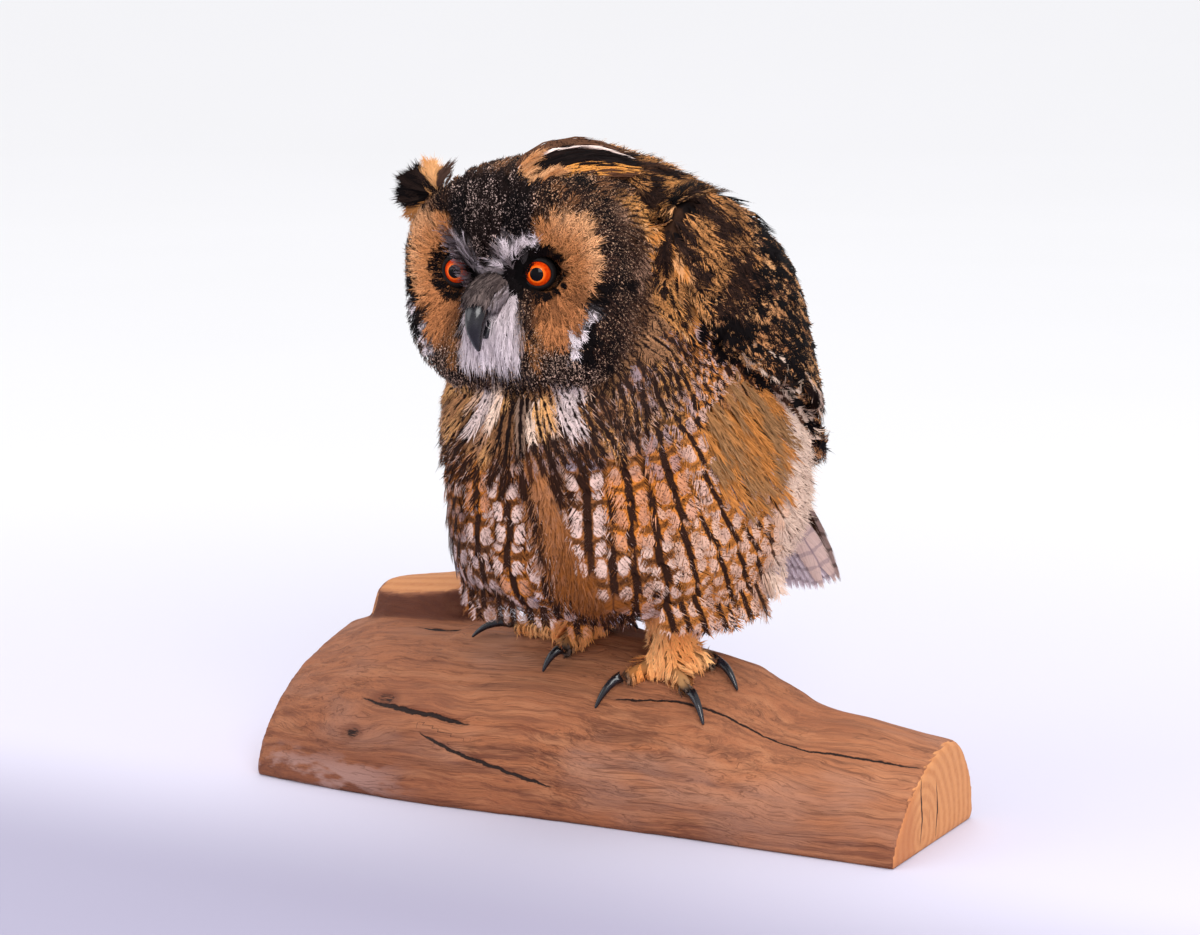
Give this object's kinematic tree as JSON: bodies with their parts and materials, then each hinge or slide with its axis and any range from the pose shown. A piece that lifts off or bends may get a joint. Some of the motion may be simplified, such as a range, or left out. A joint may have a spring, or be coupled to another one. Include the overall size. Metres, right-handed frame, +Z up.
{
  "type": "taxidermy long-eared owl",
  "caption": "Life-size mounted long-eared owl standing hunched with its head lowered on a split length of wood, as a still display piece.",
  "frame": {"origin": "centre of the log's flat underside", "axes": "+X along the log towards its thin sawn end, +Y across the log towards the side the owl has its back to, +Z up"},
  "size_m": [0.314, 0.2301, 0.2923],
  "materials": {
    "wood": "matt, with open grain and cracks",
    "breast_feathers": "soft feathers, tawny with dark streaks and pale spots",
    "mantle_feathers": "soft feathers, dark brown mottled with tawny",
    "face_feathers": "fine feathers, orange-tawny discs with a black rim",
    "tuft_feathers": "soft feathers, black edged with tawny",
    "tail_feathers": "soft feathers, grey with thin dark bars",
    "leg_feathers": "short hair-like feathers, golden tawny",
    "eye": "glossy, orange iris and black pupil",
    "horn": "glossy black horn"
  },
  "bodies": {
    "root": {"bill_lower": "horn", "bill_upper": "horn", "claw_left_hind": "horn", "claw_left_inner": "horn", "claw_left_middle": "horn", "claw_left_outer": "horn", "claw_right_hind": "horn", "claw_right_inner": "horn", "claw_right_middle": "horn", "claw_right_outer": "horn", "ear_tuft_left": "tuft_feathers", "ear_tuft_right": "tuft_feathers", "eye_left": "eye", "eye_right": "eye", "head": "face_feathers", "leg_left": "leg_feathers", "leg_right": "leg_feathers", "log": "wood", "neck": "mantle_feathers", "primaries_left": "mantle_feathers", "primaries_right": "mantle_feathers", "tail": "tail_feathers", "toe_left_hind": "leg_feathers", "toe_left_inner": "leg_feathers", "toe_left_middle": "leg_feathers", "toe_left_outer": "leg_feathers", "toe_right_hind": "leg_feathers", "toe_right_inner": "leg_feathers", "toe_right_middle": "leg_feathers", "toe_right_outer": "leg_feathers", "trunk": "breast_feathers", "wing_left": "mantle_feathers", "wing_right": "mantle_feathers"}
  },
  "joints": []
}
